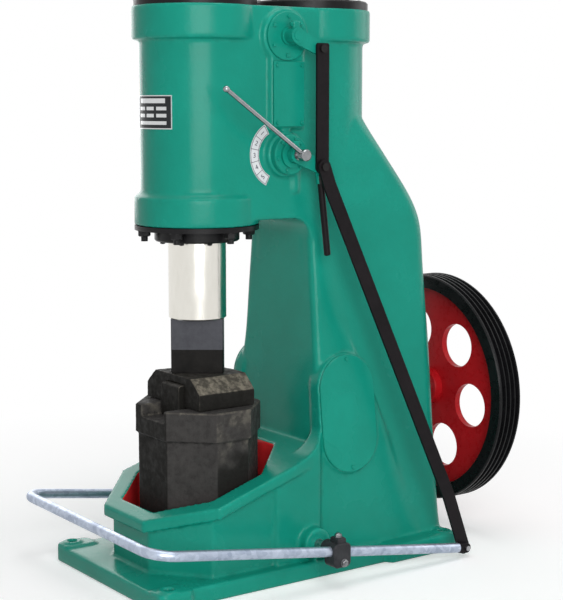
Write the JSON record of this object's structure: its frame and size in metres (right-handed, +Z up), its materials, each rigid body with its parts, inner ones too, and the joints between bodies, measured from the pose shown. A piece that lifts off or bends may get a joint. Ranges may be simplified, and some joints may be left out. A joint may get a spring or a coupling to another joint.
{
  "type": "air forging hammer",
  "caption": "Air forging hammer: cast frame with ram and compressor cylinders, ram over an octagonal anvil in a collar, rear flywheel, and a foot treadle linked to two valves.",
  "frame": {"origin": "on the floor, under the axis of the ram, at the middle of the frame's width", "axes": "+Z up, -Y to the front where the smith stands, +X to the side with the valves and the pull rod"},
  "size_m": [0.848, 1.397, 1.706],
  "materials": {
    "enamel": "gloss teal green enamel over cast iron",
    "black_paint": "semi-gloss black",
    "red_paint": "gloss red",
    "ground_steel": "ground and polished",
    "die_steel": "dark forged steel",
    "rough_cast": "rough, dark, worn on the edges",
    "bare_steel": "machined",
    "galvanised": "galvanised pipe",
    "dark_cast": "dark casting",
    "black_steel": "thin black paint on flat steel",
    "chrome": "plated"
  },
  "bodies": {
    "frame": {"frame_casting": "enamel", "front_top_cover": "black_paint", "rear_top_cover": "black_paint", "gland_plate": "black_paint", "gland_ring": "black_paint", "side_cover_right": "enamel", "side_cover_left": "enamel", "upper_valve_cover": "enamel", "port_cover": "enamel", "low_valve_cover": "enamel", "upper_spindle": "bare_steel", "low_spindle": "bare_steel", "rear_bearing": "enamel", "treadle_stub_right": "bare_steel", "treadle_stub_left": "bare_steel", "anvil_block": "rough_cast", "anvil_cap": "rough_cast", "anvil_key": "rough_cast"},
    "ram": {"ram_rod": "ground_steel", "ram_head": "die_steel", "upper_die": "die_steel"},
    "flywheel": {"flywheel_rim": "black_paint", "flywheel_web": "red_paint", "flywheel_hub": "red_paint", "crankshaft": "bare_steel"},
    "treadle": {"treadle_pipe": "galvanised", "treadle_eye": "galvanised", "treadle_clamp_right": "dark_cast", "treadle_clamp_left": "dark_cast", "rod_pin": "bare_steel"},
    "pull_rod": {"pull_rod": "black_steel"},
    "low_lever": {"low_valve_lever": "enamel", "hand_lever": "black_steel"},
    "tie_bar": {"tie_bar": "black_steel"},
    "upper_lever": {"upper_valve_lever": "enamel"},
    "index_handle": {"index_handle_hub": "chrome", "index_handle_bar": "chrome"}
  },
  "joints": [
    {"name": "ram_slide", "type": "slide", "parent": "frame", "child": "ram", "axis": [0, 0, 1], "range_m": [0, 0.225]},
    {"name": "flywheel_spin", "type": "hinge", "parent": "frame", "child": "flywheel", "pos_m": [0, 0.9, 0.46], "axis": [0, 1, 0], "continuous": true},
    {"name": "treadle", "type": "hinge", "parent": "frame", "child": "treadle", "pos_m": [0, 0.225, 0.107], "axis": [1, 0, 0], "range_deg": [0, 6]},
    {"name": "pull_rod_swing", "type": "hinge", "parent": "treadle", "child": "pull_rod", "pos_m": [0.385, 0.727, 0.03], "axis": [1, 0, 0], "range_deg": [-6.5, 0.5]},
    {"name": "low_lever_turn", "type": "hinge", "parent": "frame", "child": "low_lever", "pos_m": [0.227, 0.196, 1.253], "axis": [1, 0, 0], "range_deg": [-1, 34]},
    {"name": "tie_bar_swing", "type": "hinge", "parent": "low_lever", "child": "tie_bar", "pos_m": [0.241, 0.282, 1.217], "axis": [1, 0, 0], "range_deg": [-34, 1]},
    {"name": "upper_lever_turn", "type": "hinge", "parent": "frame", "child": "upper_lever", "pos_m": [0.227, 0.196, 1.594], "axis": [1, 0, 0], "range_deg": [-1, 34]},
    {"name": "index_handle_turn", "type": "hinge", "parent": "frame", "child": "index_handle", "pos_m": [0.27, 0.196, 1.253], "axis": [1, 0, 0], "range_deg": [-20, 88]}
  ],
  "couplings": [
    {"joint": "pull_rod_swing", "follows": "treadle", "ratio": -1.02},
    {"joint": "low_lever_turn", "follows": "treadle", "ratio": 5.58},
    {"joint": "tie_bar_swing", "follows": "treadle", "ratio": -5.58},
    {"joint": "upper_lever_turn", "follows": "treadle", "ratio": 5.58}
  ]
}
